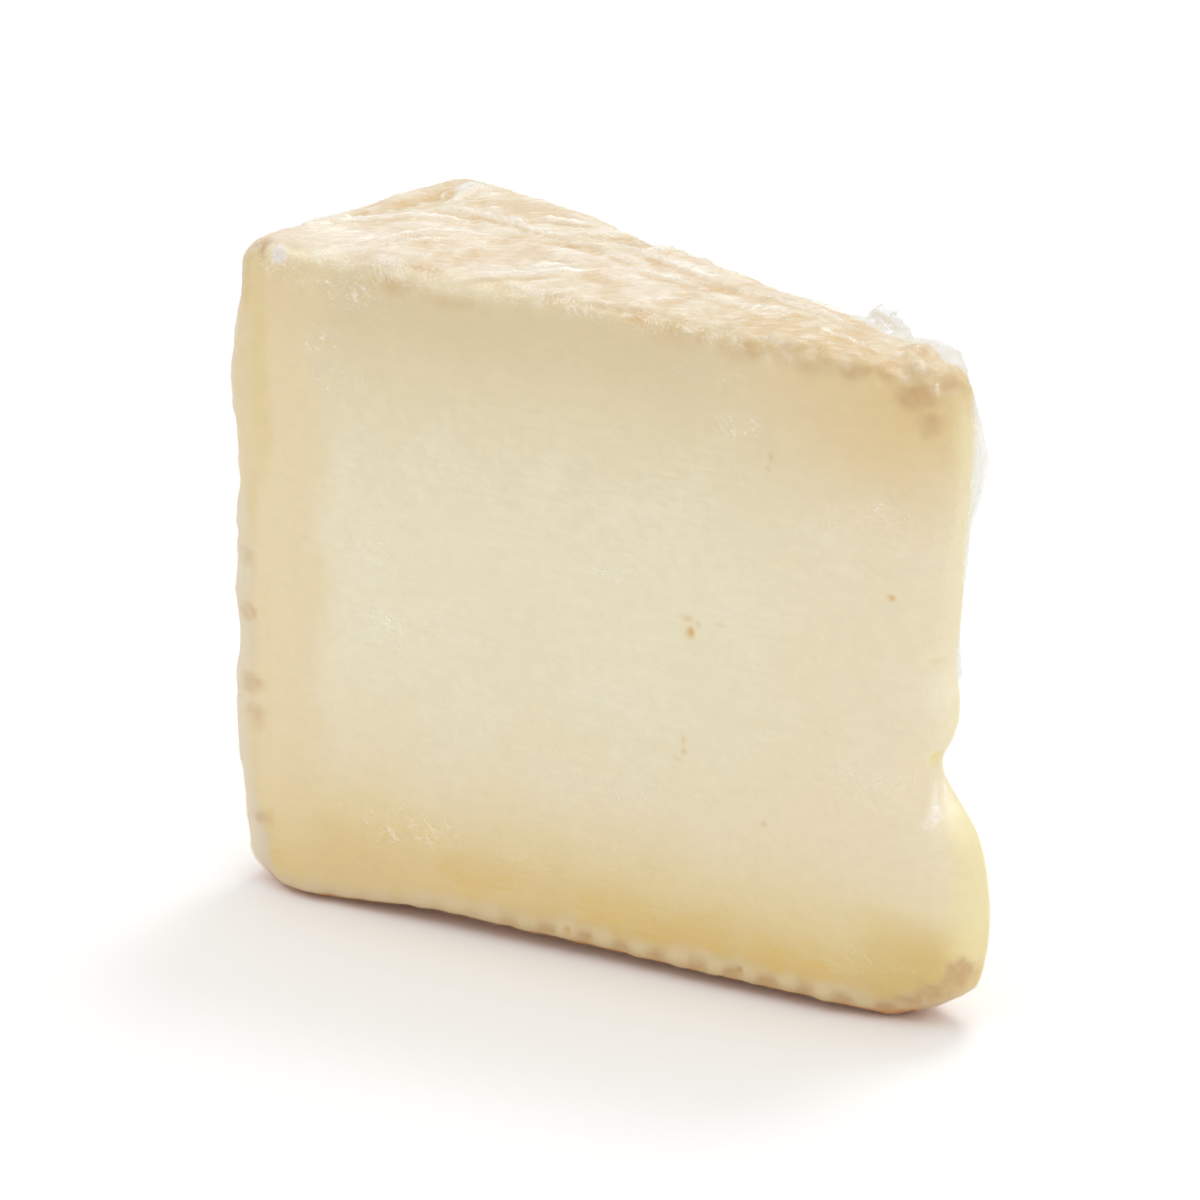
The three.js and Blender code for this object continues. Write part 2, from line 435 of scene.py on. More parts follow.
class Rind:
    """The rind over a skin: where it shows, its patches, stain spots, painted shade and crumbs.
    """

    def __init__(self, skin, creases):
        self.skin, self.creases = skin, creases
        self.slow = skin.noise(12, 1)
        self.wander = skin.noise(5.5, 2)
        self.fine = skin.noise(2.0, 3)
        self.patch = skin.noise(4.2, 5) + 0.6 * skin.noise(1.9, 6) + 0.35 * skin.noise(0.9, 13)
        # Spots of stain in the rind, with painted shadow under the lip.
        self.stains_and_shade = blots(skin, STAINS_AND_SHADE)
        self.mould = blots(skin, MOULD)
        self.flat = np.maximum.reduce([skin.on_top, skin.on_back, skin.on_base])

        # The lip of the top's rind, and the crumbs that lie along it near the tip.
        self.lip = ramp(skin.radius, 83, 76)
        near_tip = ramp(skin.radius, 54, 40) * (skin.y < 4)
        self.crumbs = hill(skin.below_top - 1.0, 1.2) * near_tip

        # The rack's marks along the edge of the base, which are weak near the back.
        self.above = skin.z - edge_lift(skin.radius)
        self.waves = edge_waves(skin)
        self.marks = hill(self.above - 1.3, 0.85) * (1 - skin.on_base)
        self.marked = ramp(skin.radius, 74, 58) * 0.8 + 0.12

    def share(self):
        """How much of each point is rind, also where the knife has cut through it."""
        skin, wander, fine = self.skin, self.wander, self.fine
        near_nose = ramp(skin.radius, 24, 14)
        top = 0.3 + (0.5 + 1.2 * self.lip) * ramp(skin.radius, 18, 34) + 0.8 * near_nose
        top += 0.7 * wander + 0.4 * fine
        base = 2.7 - 0.9 * ramp(skin.radius, 55, 85) + 0.25 * (1 - self.waves) + 1.8 * near_nose
        base += 0.4 * wander + 0.5 * fine
        back = 1.0 + 1.5 * ramp(skin.z, 50, 40) + 2.2 * ramp(skin.z, 13, 4)
        back += 0.6 * wander + 0.3 * fine
        return np.maximum.reduce([
            ramp(skin.below_top, top + 1.2, top - 0.8),
            ramp(self.above, base + 1.0, base - 1.0) * (0.8 + 0.2 * ramp(skin.radius, 70, 84)),
            ramp(skin.inside_back, back + 0.9, back - 0.9),
            self.flat,
            ramp(self.stains_and_shade, 0.3, 0.9) * 0.6,
            self.mould,
        ])

    def brown(self):
        """Tan lies in the rind's hollows and the rack's marks; painted shade lies beside the
        creases and under the lip.
        """
        skin, fine = self.skin, self.fine
        patches = ramp(self.patch + 0.5 * self.slow, -0.5, 1.1) * 0.55 * self.flat
        patches *= 1 - 0.85 * ramp(skin.y, -5, -11) * ramp(skin.x, -20, -30) * skin.on_top
        # Painted shade: a tan band along each crease, kept off the crease itself.
        painted_crease_shade = skin.lines([(*line[:4], line[4] * 3.2, 0.75) for line in CREASES])
        hollows = self.marks * ramp(self.waves + 0.25 * fine, 0.30, 0.80) * self.marked
        toe = ramp(skin.radius, 21, 18.5) * ramp(self.above + 0.6 * fine, 4.4, 2.6)
        rind = np.maximum.reduce([
            patches, (painted_crease_shade - 1.6 * self.creases) * self.flat, hollows, self.stains_and_shade,
            0.8 * skin.on_base,
        ])
        crumbs = self.crumbs * ramp(fine + 0.5 * self.patch, 0.0, 0.8) * 0.5
        return np.maximum.reduce([rind * (1 - self.mould), crumbs, 0.65 * toe])

    def white(self):
        """White lies on the ridges of the rind, and on some of its crumbs."""
        ridges = ramp(-self.patch + 0.3 * self.fine, -0.2, 1.3) * 0.6 * self.flat
        crumbs = self.crumbs * ramp(0.3 * self.patch - self.fine, 0.1, 0.9) * 0.55
        return np.maximum.reduce([ridges, self.mould, crumbs])

    def relief(self, brown, white):
        """How far each point stands out: high where it is white, and low where it is brown."""
        skin, fine, wander = self.skin, self.fine, self.wander
        height = 0.25 * white - 0.32 * brown + 0.2 * self.slow + 0.08 * fine
        height *= self.flat * ramp(skin.z, 0.2, 1.5)
        lip = hill(skin.below_top - 1.1, 1.0) * self.lip * ramp(skin.radius, 20, 34)
        height += lip * (0.34 + 0.16 * skin.noise(1.2, 7, (1, 3, 3)) + 0.30 * wander)
        height += 0.22 * self.crumbs * fine
        lumps = ramp(skin.radius, 30, 20) * hill(skin.below_top, 4)
        height += lumps * (0.3 * fine + 0.25 * wander)
        height += self.marks * (0.18 - 0.42 * self.waves) * (0.25 + self.marked)
        return height - 0.3 * self.stains_and_shade * (1 - self.flat)


def shape_paste(skin):
    """The low forms of the cut faces: the smooth band by the rind, and the dry middle."""
    wander = skin.noise(15, 8) + 0.5 * skin.noise(6, 12)
    band = ramp(skin.radius + 1.6 * wander, 87.2, 91) * ramp(skin.radius, 98.5, 94)
    edge = hill(skin.radius - 88.4 + 1.6 * wander, 0.9)
    dip = hill(skin.radius - 96.4 + 1.4 * wander, 1.2)
    ripple = 0.05 * skin.noise(4.5, 9) + 0.12 * skin.noise(14, 10)
    soft = ramp(skin.below_top, 0.5, 3)
    return skin.on_cut * (0.28 * band - 0.08 * edge - 0.14 * dip + ripple * soft)


def shape_notch(skin):
    """The nose: creases at the notch and nick, in painted shade, and pulled facets, in painted
    highlight.
    """
    out = skin.to_corner
    rounded = ramp(skin.radius, 22, 20) * ramp(skin.y, 3, 1)
    pinch = hill(skin.z - 28.1, 0.85) * hill(out - 29.2, 0.8) * rounded
    nick = hill(skin.z - 39.3, 0.28) * hill(out - 29.0, 0.9) * rounded
    fold = np.maximum(pinch, 0.35 * nick)
    facet = hill(skin.z - 24.3, 1.8) * hill(out - 31.2, 1.3) * rounded
    bulge = hill(skin.z - 36.0, 2.2) * hill(out - 30.0, 2.2) * rounded
    rim = hill(out - 28.8, 0.5) * hill(skin.z - 24.0, 2.8) * rounded
    relief = 0.3 * rim + 0.3 * bulge - 0.55 * pinch - 0.35 * nick - 0.3 * facet
    # Masks: painted shade in the creases, and painted highlights where the facets face the
    # light.
    return relief, fold, np.maximum.reduce([facet, 0.45 * bulge, 0.5 * rim])


def shape_holes(skin):
    """How deep the small holes are at each point, and how brown."""
    depths = np.zeros(len(skin.x))
    shades = np.zeros(len(skin.x))
    for face, u0, v0, wide, tall, depth, shade in HOLES:
        u, v, share = skin.face(face)
        spot = hill(np.hypot((u - u0) / wide, (v - v0) / tall), 1) * share
        depths += depth * spot
        shades = np.maximum(shades, shade * spot)
    return depths, shades


def make_cheese():
    piece = merged_copy("cheese_wedge", "cheese")
    voxel = VOXEL
    apply_modifier(piece, "REMESH", mode="VOXEL", voxel_size=voxel * MM)
    apply_modifier(piece, "SMOOTH", factor=0.5, iterations=4)
    refine(piece, HOLES + NOTCH_SPOTS)
    settle(piece)
    return piece


def finish_cheese(piece):
    """Gives the cheese its relief, and returns how far each point moved out."""
    skin = Skin(piece)
    creases = skin.lines(CREASES)
    rind = Rind(skin, creases)
    folds, fold, facet = shape_notch(skin)
    depth, hole = shape_holes(skin)
    brown, white = rind.brown(), rind.white()
    relief = rind.relief(brown, white) + shape_paste(skin) + folds - depth
    relief += 0.6 * creases - skin.lines(GROOVES)
    relief -= ROOM_FOR_FILM
    skin.move(relief * ramp(skin.z, *BASE_ZONE))
    skin.write()
    edge = np.clip(skin.on_cut + ramp(skin.below_top, 0.2, 1.0), 0, 1) * (skin.radius < 96)
    amounts = {
        "rind": rind.share(),
        # The brown amount holds the rind's tan, and painted shade beside the creases and under
        # the lip.
        "brown": brown,
        "white": white,
        "mould": rind.mould,
        "edge": edge,
        # Darker towards the base of the cut faces: the rind's tan, and painted shade by the
        # table.
        "foot": ramp(rind.above, 2.0, 0.4) * skin.on_cut,
        "under": skin.on_base * ramp(skin.radius, 17, 21),
        "hole": hole,
        # Painted shade in the notch's creases, and painted highlights on its facets.
        "fold": fold,
        "facet": facet,
    }
    for name, amount in amounts.items():
        skin.paint(name, amount)
    shade_smooth(piece)
    return relief


# --- The film ---

# Long creases of the film: the face, from where to where, how far it bows as a share of its
# length, its width and its height.
CREASES = [
    ("top", (-34.6, 14.5), (-32.2, 5.2), 0.06, 0.30, 0.50),
    ("top", (-36.5, 11.0), (-33.2, 6.4), -0.05, 0.24, 0.35),
    ("top", (-33.6, 5.4), (-9.6, 5.2), -0.02, 0.28, 0.50),
    ("top", (-31.0, 4.4), (-18.0, 4.6), 0.02, 0.24, 0.30),
    ("top", (-11.0, 5.6), (9.0, 4.6), -0.03, 0.28, 0.45),
    ("top", (-22.0, 6.0), (-14.5, 10.6), 0.06, 0.26, 0.40),
    ("top", (-17.5, 5.4), (-10.6, 9.8), -0.05, 0.24, 0.35),
    ("top", (-5.0, 9.6), (-5.0, 4.8), 0.02, 0.24, 0.40),
    ("top", (-3.6, 9.4), (-3.4, 4.6), -0.02, 0.24, 0.40),
    ("top", (-39.0, -8.5), (-24.0, 3.6), 0.05, 0.30, 0.45),
    ("top", (-41.0, -6.5), (-31.0, -1.0), -0.05, 0.26, 0.40),
    ("top", (-36.5, -5.0), (-28.0, 2.0), -0.04, 0.24, 0.30),
    ("top", (-29.0, -11.5), (-20.0, 1.0), 0.04, 0.28, 0.42),
    ("top", (-26.6, -10.6), (-21.5, -3.0), -0.04, 0.24, 0.30),
    ("top", (-15.6, -13.5), (-3.6, -0.8), -0.05, 0.32, 0.48),
    ("top", (-12.0, -8.0), (-6.0, -2.0), 0.06, 0.24, 0.32),
    ("top", (-4.0, -0.8), (8.0, 1.6), 0.05, 0.26, 0.36),
    ("top", (-10.0, 2.2), (0.0, 0.4), 0.06, 0.24, 0.28),
    ("top", (4.0, -8.0), (8.0, -2.0), 0.05, 0.26, 0.35),
    ("top", (7.0, -2.6), (20.0, 0.4), 0.06, 0.24, 0.30),
    ("top", (9.0, 4.4), (27.0, 2.4), -0.03, 0.26, 0.36),
    ("top", (14.0, 5.0), (24.0, 4.4), 0.05, 0.22, 0.28),
    ("top", (20.0, -2.6), (33.0, -1.6), 0.05, 0.24, 0.30),
    ("shown", (22.6, 71.2), (21.0, 68.6), 0.06, 0.26, 0.30),
    ("shown", (20.2, 71.2), (18.6, 67.6), -0.06, 0.28, 0.35),
    ("shown", (18.4, 70.8), (17.4, 66.4), 0.05, 0.26, 0.30),
    ("hidden", (96.0, 66.0), (22.0, 60.0), 0.02, 0.30, 0.24),
    ("hidden", (94.0, 58.0), (30.0, 46.0), 0.04, 0.30, 0.20),
    ("hidden", (84.0, 8.0), (18.0, 30.0), -0.05, 0.30, 0.20),
    ("hidden", (97.0, 40.0), (64.0, 12.0), 0.06, 0.28, 0.18),
]

# Families of smaller creases: the face, how many, the field they start in, the way they
# run in degrees with its scatter, their length, width and height, and how much they bow.
CREASE_FAMILIES = [
    ("top", 34, (-42, -8), (-14, 3), 42, 12, (2, 7), (0.16, 0.26), (0.06, 0.20), 0.10),
    ("top", 26, (-33, 8), (2, 7), 2, 12, (2, 8), (0.16, 0.26), (0.06, 0.20), 0.06),
    ("top", 16, (-22, 16), (4, 10), 62, 26, (1.5, 4), (0.16, 0.24), (0.08, 0.22), 0.12),
    ("top", 18, (4, 36), (-5, 4), 30, 30, (1.5, 5), (0.16, 0.24), (0.06, 0.18), 0.15),
    ("shown", 26, (82, 97), (66.5, 71), 70, 50, (0.8, 2.6), (0.20, 0.28), (0.08, 0.2), 0.3),
    ("hidden", 18, (20, 95), (54, 70), 80, 28, (6, 18), (0.22, 0.32), (0.10, 0.24), 0.10),
    ("hidden", 18, (15, 60), (6, 62), 8, 22, (10, 30), (0.22, 0.32), (0.08, 0.20), 0.08),
    ("hidden", 12, (60, 96), (4, 30), 50, 30, (8, 22), (0.22, 0.32), (0.08, 0.20), 0.10),
    ("back", 18, (-16, 16), (4, 68), 86, 16, (10, 30), (0.30, 0.50), (0.14, 0.30), 0.08),
    ("back", 12, (-16, 16), (40, 70), 30, 40, (6, 16), (0.30, 0.45), (0.12, 0.28), 0.12),
    ("nose", 5, (-3, 3), (46, 68), 84, 10, (5, 12), (0.25, 0.40), (0.10, 0.22), 0.10),
]

# Patches where the film has shrunk into fine wrinkles that catch the light: the face, its
# place, how wide and how tall, and how strong.
WRINKLES = [
    ("shown", 89.5, 70.0, 6.0, 2.2, 0.63),
    ("shown", 84.0, 67.6, 3.4, 2.2, 0.56),
    ("shown", 88.5, 62.0, 2.6, 2.2, 0.56),
    ("shown", 86.0, 58.5, 3.0, 2.4, 0.32),
    ("shown", 83.0, 41.5, 3.6, 2.6, 0.32),
    ("shown", 81.0, 32.5, 4.2, 2.4, 0.35),
    ("shown", 78.0, 10.2, 7.0, 2.4, 0.52),
    ("shown", 66.0, 9.6, 5.0, 2.2, 0.32),
    ("shown", 53.5, 43.0, 3.6, 1.0, 0.39),
    ("shown", 56.0, 20.0, 9.0, 3.0, 0.17),
    ("shown", 39.5, 61.0, 3.0, 1.6, 0.56),
    ("shown", 42.0, 66.0, 4.0, 1.6, 0.24),
    ("shown", 23.0, 54.0, 2.4, 1.8, 0.42),
    ("shown", 28.5, 52.0, 2.0, 1.8, 0.24),
    ("shown", 25.0, 26.0, 3.4, 2.6, 0.35),
    ("shown", 99.0, 60.5, 0.6, 1.4, 0.63),
    ("shown", 24.0, 6.6, 5.0, 1.6, 0.24),
    ("hidden", 80.0, 66.0, 8.0, 3.0, 0.8),
    ("hidden", 40.0, 62.0, 9.0, 3.0, 0.6),
    ("hidden", 30.0, 14.0, 8.0, 5.0, 0.6),
    ("back", 0.0, 66.0, 12.0, 3.5, 0.7),
]

# Patches where the film stands off the rind and veils it: the face, its place, how wide and
# how tall, and how strong.
VEILS = [
    ("top", -39.5, -7.0, 2.0, 3.4, 1.0),
    ("top", -38.0, -9.0, 3.0, 4.5, 0.9),
    ("top", -34.5, -7.0, 3.4, 3.4, 1.0),
    ("top", -32.0, -9.0, 6.0, 4.0, 1.0),
    ("top", -29.0, -1.0, 4.0, 3.0, 0.8),
    ("top", -28.0, 12.6, 3.2, 1.8, 0.7),
    ("top", -18.0, -3.0, 3.0, 3.6, 0.7),
    ("top", -18.0, 5.0, 2.4, 2.6, 0.8),
    ("top", -17.5, 7.6, 2.6, 2.6, 0.8),
    ("top", -14.0, 10.0, 2.0, 1.4, 0.8),
    ("top", -14.0, 1.2, 3.0, 1.2, 0.8),
    ("top", -9.0, 0.8, 4.0, 1.3, 0.5),
    ("top", -8.0, -4.4, 2.6, 2.6, 0.9),
    ("top", -4.3, 7.2, 0.6, 2.6, 1.0),
    ("top", -2.0, -1.2, 3.0, 1.6, 0.9),
    ("top", 0.0, 6.8, 3.0, 1.6, 0.8),
    ("top", 0.7, 1.6, 3.6, 1.6, 0.8),
    ("top", 1.5, 5.2, 3.2, 1.3, 0.9),
    ("top", 12.0, 0.6, 3.0, 1.6, 0.5),
    ("top", 16.0, -0.6, 3.6, 1.5, 1.0),
    ("top", 18.0, 1.6, 2.6, 1.2, 0.9),
    ("top", 22.0, -1.0, 2.0, 2.2, 0.5),
    ("shown", 17.6, 24.4, 0.7, 3.2, 1.0),
    ("hidden", 36.0, 30.0, 9.0, 7.0, 0.4),
    ("hidden", 70.0, 50.0, 10.0, 8.0, 0.4),
    ("back", -8.0, 20.0, 5.0, 8.0, 0.5),
    ("back", 4.0, 44.0, 6.0, 9.0, 0.6),
]

# How far the film stands off the cheese, how far it is kept off it at the base, and how
# much of a hollow it bridges.
FILM_GAP = 0.1
FILM_CLEARANCE = 0.02
BRIDGE_SHARE = 0.6


def scattered_creases():
    draw = random.Random(11)
    lines = []
    for face, count, us, vs, angle, scatter, lengths, widths, heights, bow in CREASE_FAMILIES:
        for _ in range(count):
            start = (draw.uniform(*us), draw.uniform(*vs))
            way = math.radians(angle + draw.uniform(-scatter, scatter))
            length = draw.uniform(*lengths)
            end = (start[0] + math.cos(way) * length, start[1] + math.sin(way) * length)
            lines.append((face, start, end, draw.uniform(-bow, bow), draw.uniform(*widths),
                          draw.uniform(*heights)))
    return lines


def notch_streaks(skin):
    """Two short streaks where the film is drawn into the notch."""
    from_corner, height = skin.to_corner, skin.z - 24.6
    inner = 0.30 * hill(from_corner - 28.8, 0.30) * hill(skin.z - 24.0, 2.2)
    outer = 0.35 * hill(from_corner - 29.8 + 0.12 * height, 0.22) * hill(height, 1.2)
    return (inner + outer) * ramp(skin.radius, 22, 20) * ramp(skin.y, 3, 1)


def make_film(cheese, relief):
    """The film clings to the cheese, bridges its small hollows and stands up in creases."""
    piece = copy_of(cheese, "film")
    skin = Skin(piece)
    creases = skin.lines(CREASES + scattered_creases())
    creases = np.maximum(creases, notch_streaks(skin))
    bridged = np.clip(-relief - 0.15, 0, 0.5) * skin.on_cut
    standing_off = FILM_GAP + creases + BRIDGE_SHARE * bridged
    skin.move(standing_off * ramp(skin.z, *BASE_ZONE) + FILM_CLEARANCE)
    skin.write()
    skin.paint("crease", creases / 0.35)
    skin.paint("wrinkle", blots(skin, WRINKLES))
    skin.paint("veil", blots(skin, VEILS))
    lip = 0.9 + 0.5 * skin.noise(6, 2)
    fringe = hill(skin.below_top - lip, 0.9) * hill(skin.inside_cut, 2.5) * (skin.y < 0)
    fringe *= ramp(skin.radius, 94, 86) * ramp(skin.radius, 26, 44)
    skin.paint("fringe", fringe * ramp(skin.noise(5, 14), -0.9, 0.5))
    shade_smooth(piece)
    return piece


# The gathered fin: points along its foot, the way it stands out there, how far, and how
# crumpled it is. Then how many times its grid is divided along it and outward, and how
# thick its film is.
FIN = [
    ((20.3, 6.5, 69.8), (0.00, 0.30, 1.0), 0.0, 0.2),
    ((23.4, 5.9, 69.6), (0.05, 0.30, 1.0), 0.9, 0.5),
    ((25.3, 5.5, 69.4), (0.10, 0.30, 1.0), 2.7, 1.0),
    ((27.3, 5.1, 69.1), (0.15, 0.30, 1.0), 2.9, 1.0),
    ((28.9, 4.8, 68.9), (0.20, 0.30, 1.0), 1.7, 0.6),
    ((30.5, 4.6, 68.7), (0.20, 0.30, 1.0), 1.2, 0.4),
    ((33.5, 3.9, 68.5), (0.25, 0.35, 1.0), 2.1, 0.4),
    ((37.0, 2.4, 68.0), (0.40, 0.40, 0.9), 2.4, 0.3),
    ((38.0, 2.2, 67.0), (0.60, 0.40, 0.9), 1.7, 0.2),
    ((38.9, 2.0, 65.4), (0.95, 0.50, 0.4), 1.4, 0.2),
    ((39.3, 1.9, 62.5), (1.00, 0.50, 0.1), 2.0, 0.2),
    ((39.5, 1.9, 59.5), (1.00, 0.50, 0.1), 2.4, 0.2),
    ((39.5, 1.9, 56.5), (1.00, 0.50, 0.0), 1.9, 0.3),
    ((39.2, 1.9, 53.0), (1.00, 0.50, 0.0), 1.1, 0.2),
    ((39.0, 1.9, 48.0), (1.00, 0.50, 0.0), 0.8, 0.15),
    ((38.7, 1.9, 42.0), (1.00, 0.40, 0.0), 0.5, 0.15),
    ((38.4, 1.6, 39.2), (1.00, 0.30, 0.0), 1.1, 0.3),
    ((38.2, 1.4, 36.8), (1.00, 0.30, 0.0), 1.5, 0.3),
    ((38.2, 1.4, 34.8), (1.00, 0.30, 0.0), 0.2, 0.2),
]
FIN_LENGTHWISE = 280
FIN_OUTWARD = 16
FILM_THICKNESS = 0.04


def make_fin(name, start, size, lean):
    """A crumpled fin of spare film along the far edge of the tip."""
    bpy.ops.object.select_all(action="DESELECT")
    bpy.ops.mesh.primitive_grid_add(x_subdivisions=FIN_LENGTHWISE, y_subdivisions=FIN_OUTWARD,
                                    size=1)
    piece = bpy.context.object
    piece.name = piece.data.name = name
    feet = np.array([point for point, _, _, _ in FIN])
    ways = np.array([way for _, way, _, _ in FIN])
    heights = [height for _, _, height, _ in FIN]
    crumples = [crumple for _, _, _, crumple in FIN]
    steps = np.arange(len(FIN))
    layer = piece.data.attributes.new("outward", "FLOAT", "POINT")
    for vertex in piece.data.vertices:
        along = (vertex.co.x + 0.5) * (len(FIN) - 1)
        v = vertex.co.y + 0.5
        foot = Vector(np.interp(along, steps, feet[:, i]) for i in range(3))
        way = Vector(np.interp(along, steps, ways[:, i]) for i in range(3)).normalized()
        height = np.interp(along, steps, heights) * size
        crumple = np.interp(along, steps, crumples)
        ragged = noise.noise(Vector((along * 1.7, start, 3))) * 0.45
        ragged += noise.noise(Vector((along * 4.3, start, 5))) * 0.15
        rise = height * (1 + ragged * crumple) * v
        fold = noise.noise(Vector((along * 1.6, v * height * 0.7, start))) * crumple
        crimp = Vector(noise.noise_vector(Vector((along * 3.3, v * height * 1.2, start + 9))))
        aside = way.cross(Vector((0.3, -0.8, 0.2))).normalized()
        place = foot + way * rise + aside * (lean + 1.2 * fold) * min(rise, 1.2)
        place += crimp * crumple * 0.28 * min(rise, 1)
        vertex.co = place * MM
        layer.data[vertex.index].value = v
    apply_modifier(piece, "SOLIDIFY", thickness=FILM_THICKNESS * MM)
    shade_smooth(piece)
    return piece


# --- Finishes ---


def colour(code):
    """A colour as Blender takes it, from its red, green and blue of 0 to 255."""
    linear = [((c / 255 + 0.055) / 1.055) ** 2.4 if c > 10 else c / 3295 for c in code]
    return (*linear, 1)


class Value:
    """A number that varies over a surface, which Python's operators work on."""

    def __init__(self, finish, socket):
        self.finish, self.socket = finish, socket

    def math(self, operation, *others):
        return self.finish.node("ShaderNodeMath", {"operation": operation}, self, *others)

    def __add__(self, other):
        return self.math("ADD", other)

    def __mul__(self, other):
        return self.math("MULTIPLY", other)

    def __sub__(self, other):
        return self.math("SUBTRACT", other)

    def __rsub__(self, other):
        return (self * -1) + other

    def __pow__(self, other):
        return self.math("POWER", other)

    __radd__ = __add__
    __rmul__ = __mul__

    def at_least(self, other):
        return self.math("MAXIMUM", other)

    def at_most(self, other):
        return self.math("MINIMUM", other)


class Finish:
    """A material, or the sky, and the nodes it is made of."""

    def __init__(self, name, kinds=bpy.data.materials):
        self.owner = kinds.new(name)
        self.owner.use_nodes = True
        self.tree = self.owner.node_tree
        self.tree.nodes.clear()

    def node(self, kind, settings, *values, out=0, **named):
        """A node of a kind, with its settings and its sockets' values, as one of its outputs."""
        node = self.tree.nodes.new(kind)
        for name, value in settings.items():
            if name == "stops":
                self.set_stops(node.color_ramp, value)
            else:
                setattr(node, name, value)
        sockets = list(zip(node.inputs, values))
        sockets += [(node.inputs[name.replace("_", " ")], v) for name, v in named.items()]
        for socket, value in sockets:
            if isinstance(value, Value):
                self.tree.links.new(value.socket, socket)
            elif value is not None:
                socket.default_value = value
        return Value(self, node.outputs[out])

    def set_stops(self, strip, stops):
        while len(strip.elements) < len(stops):
            strip.elements.new(0.5)
        for element, (place, shade) in zip(strip.elements, stops):
            element.position, element.color = place, shade

    def place(self):
        """The point's place in the part's frame, in millimetres."""
        where = self.node("ShaderNodeTexCoord", {}, out=3)
        return self.node("ShaderNodeVectorMath", {"operation": "SCALE"}, where, Scale=1000)

    def parts(self, vector):
        return [self.node("ShaderNodeSeparateXYZ", {}, vector, out=i) for i in range(3)]

    def turned(self, vector, turn, stretch):
        """A place turned and stretched, for a pattern that runs one way."""
        angles = tuple(math.radians(angle) for angle in turn)
        settings = {"vector_type": "TEXTURE"}
        return self.node("ShaderNodeMapping", settings, vector, Rotation=angles, Scale=stretch)

    def noise(self, vector, size, detail=2, roughness=0.5, warp=0):
        return self.node("ShaderNodeTexNoise", {}, vector, Scale=1 / size, Detail=detail,
                         Roughness=roughness, Distortion=warp)

    def ramp(self, value, start, end, low=0, high=1):
        settings = {"interpolation_type": "SMOOTHSTEP"}
        return self.node("ShaderNodeMapRange", settings, value, start, end, low, high)

    def blend(self, first, second, share):
        """One colour going over to a second by a share."""
        node = self.tree.nodes.new("ShaderNodeMix")
        node.data_type = "RGBA"
        for index, value in ((0, share), (6, first), (7, second)):
            if isinstance(value, Value):
                self.tree.links.new(value.socket, node.inputs[index])
            else:
                node.inputs[index].default_value = value
        return Value(self, node.outputs[2])

    def scale_colour(self, shade, amount):
        return self.node("ShaderNodeVectorMath", {"operation": "SCALE"}, shade, Scale=amount)

    def amount(self, name):
        """An amount that was painted on the mesh."""
        return self.node("ShaderNodeAttribute", {"attribute_name": name}, out=2)

    def bump(self, height, distance, strength=1.0):
        return self.node("ShaderNodeBump", {}, Height=height, Distance=distance * MM,
                         Strength=strength)

    def close(self, shader, kind="ShaderNodeOutputMaterial"):
        out = self.tree.nodes.new(kind)
        self.tree.links.new(shader.socket, out.inputs["Surface"])
        return self.owner


FILM_IOR = 1.45

# Colours of the paste from the base rind up, each with its height, and the ramp's top.
PASTE_BY_HEIGHT = [
    (0, (204, 178, 120)), (4, (213, 187, 122)), (7, (221, 199, 141)), (10, (228, 211, 162)),
    (14, (231, 217, 179)), (19, (232, 221, 190)), (28, (231, 223, 192)),
    (44, (230, 222, 192)), (54, (225, 215, 183)), (61, (221, 208, 172)),
    (66, (216, 201, 163)), (73, (213, 197, 158)),
]
PASTE_TOP = 76
CHALK = colour((233, 229, 206))
BLUSH = colour((231, 216, 184))
BAND = colour((228, 210, 168))
RIPE_LINE = colour((221, 203, 150))
GOLD = colour((218, 193, 137))
TOE_GOLD = colour((216, 189, 120))
TAN_PASTE = colour((205, 184, 142))
DEEP_GOLD = colour((219, 181, 98))
PALE_STRAW = colour((229, 208, 160))
BUTTER = colour((233, 222, 169))
PALE_BUTTER = colour((235, 227, 184))
RIND_CREAM = colour((216, 207, 185))
RIND_PINK = colour((216, 202, 179))
RIND_WHITE = colour((233, 226, 211))
RIND_TAN = colour((199, 168, 119))
LIP_CREAM = colour((232, 222, 191))
MOULD_WHITE = colour((218, 212, 207))
RIND_TIP = colour((207, 184, 139))
CUT_RIND = colour((216, 199, 162))
HOLE_BROWN = colour((214, 174, 96))
BASE_BROWN = colour((207, 145, 78))
FOLD_YELLOW_AND_SHADE = colour((232, 216, 146))
FOOT_TAN_AND_SHADE = colour((193, 160, 112))
FACET_HIGHLIGHT = colour((248, 241, 214))


